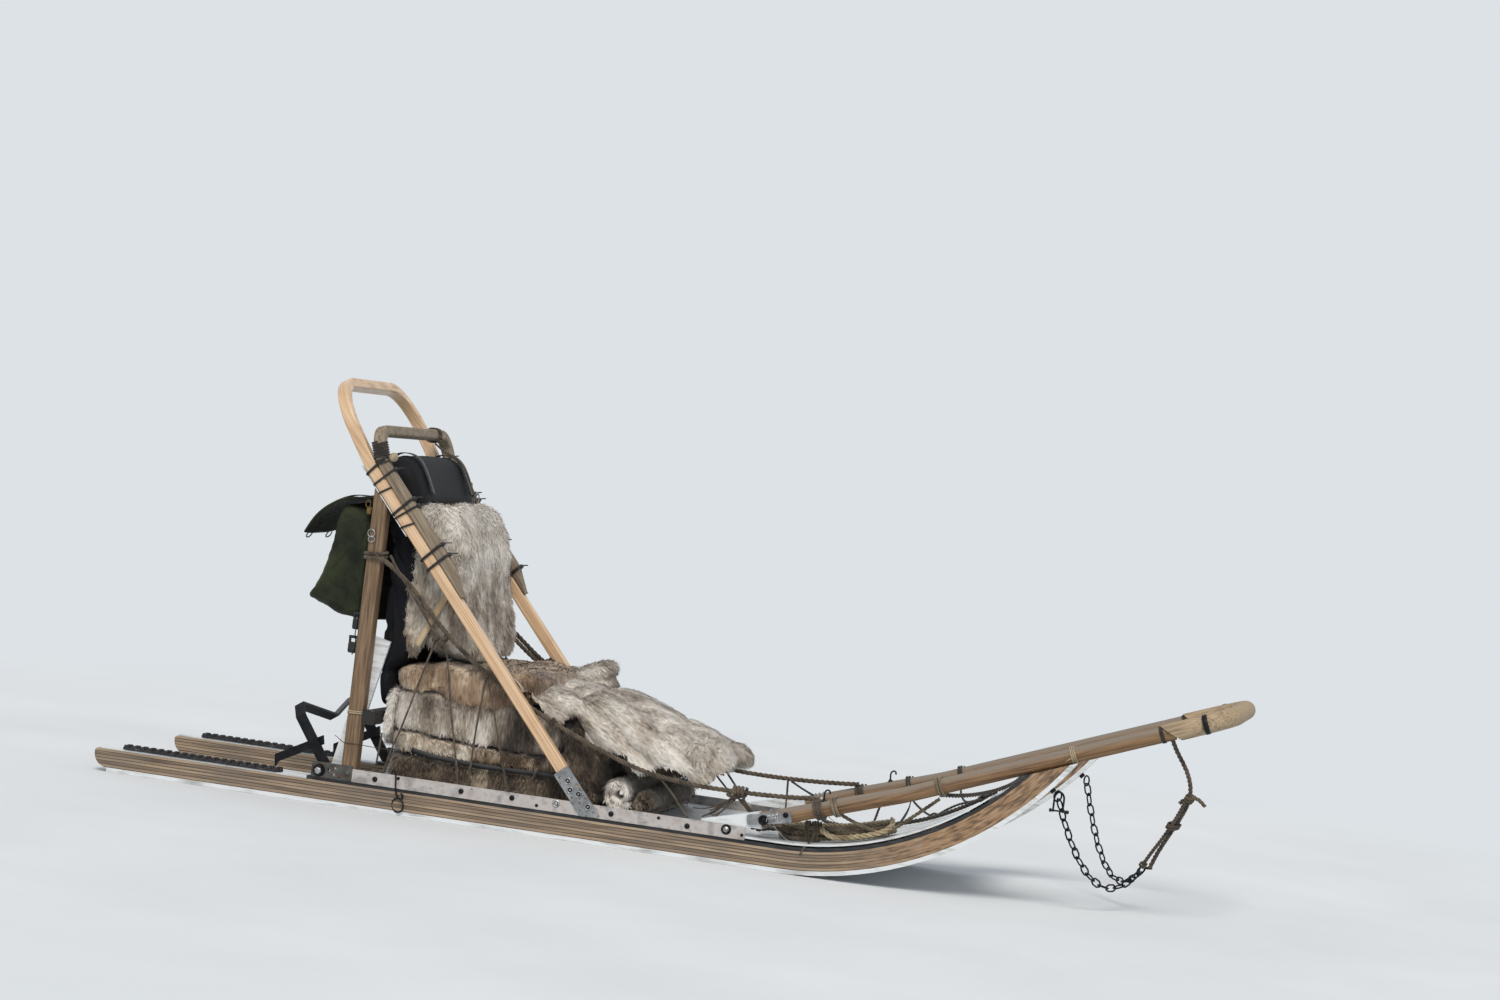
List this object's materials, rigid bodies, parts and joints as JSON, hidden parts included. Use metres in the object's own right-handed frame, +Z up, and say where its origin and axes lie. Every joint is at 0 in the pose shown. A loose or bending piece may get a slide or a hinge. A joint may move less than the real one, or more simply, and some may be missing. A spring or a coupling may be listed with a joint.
{
  "type": "dog sled",
  "caption": "Dog sled on laminated runners with a tall handle bow, brush bow, hinged claw brake, hide-covered seat and rope stays.",
  "frame": {"origin": "on the floor under the middle of the sled's length and width", "axes": "+X forward in the direction of travel, +Y to the left, +Z up"},
  "size_m": [2.68, 0.5566, 1.0015],
  "materials": {
    "laminated_birch": "oiled birch laminate, dark glue lines",
    "weathered_wood": "grey weathered wood",
    "pale_wood": "pale worn wood",
    "black_wood": "black painted wood",
    "white_polyethylene": "white plastic sheet",
    "black_polyethylene": "black plastic strip",
    "black_rubber": "lugged rubber",
    "painted_aluminium": "chipped off-white paint",
    "bare_aluminium": "dull perforated plate",
    "galvanised_steel": "dull grey plate with rust",
    "dark_steel": "dark worn steel",
    "brown_rope": "weathered laid rope",
    "pale_rope": "pale laid rope",
    "navy_fabric": "padded navy cloth",
    "olive_canvas": "worn olive canvas",
    "reindeer_fur": "thick grey, brown and white fur"
  },
  "bodies": {
    "root": {"bed": "white_polyethylene", "bow_plate_l": "bare_aluminium", "bow_plate_r": "bare_aluminium", "brace_l": "white_polyethylene", "brace_r": "white_polyethylene", "brake_bolt_l": "dark_steel", "brake_bolt_r": "dark_steel", "bridle_ring": "dark_steel", "bridle_rope": "brown_rope", "chain_eye_l": "dark_steel", "chain_eye_r": "dark_steel", "chain_l": "dark_steel", "chain_r": "dark_steel", "cross_piece_1": "weathered_wood", "cross_piece_2": "weathered_wood", "cross_piece_3": "weathered_wood", "cross_piece_4": "weathered_wood", "deck_strip_l": "black_polyethylene", "deck_strip_r": "black_polyethylene", "foot_pad_l": "black_rubber", "foot_pad_r": "black_rubber", "handle_bow": "laminated_birch", "handlebar_bag": "olive_canvas", "heel_bracket_l": "galvanised_steel", "heel_bracket_r": "galvanised_steel", "heel_strip_l": "white_polyethylene", "heel_strip_r": "white_polyethylene", "hide_back": "reindeer_fur", "hide_front": "reindeer_fur", "hide_rolls": "reindeer_fur", "hide_seat": "reindeer_fur", "nose": "pale_wood", "old_bow": "weathered_wood", "pole_l": "weathered_wood", "pole_r": "weathered_wood", "pole_wedge_l": "white_polyethylene", "pole_wedge_r": "white_polyethylene", "rail_l": "painted_aluminium", "rail_r": "painted_aluminium", "rope_hank": "pale_rope", "runner_l": "laminated_birch", "runner_r": "laminated_birch", "seat_back": "navy_fabric", "shoe_l": "white_polyethylene", "shoe_r": "white_polyethylene", "side_plate_l": "bare_aluminium", "side_plate_r": "bare_aluminium", "stanchion_l": "weathered_wood", "stanchion_r": "weathered_wood", "stay_rope_l": "brown_rope", "stay_rope_r": "brown_rope", "tie_bar": "black_wood"},
    "brake": {"brake_hoop": "dark_steel", "brake_claws": "dark_steel"}
  },
  "joints": [
    {"name": "brake_hinge", "type": "hinge", "parent": "root", "child": "brake", "pos_m": [-0.776, 0, 0.078], "axis": [0, -1, 0], "range_deg": [0, 28], "stiffness_Nm_per_rad": 4, "springref_deg": -25}
  ]
}
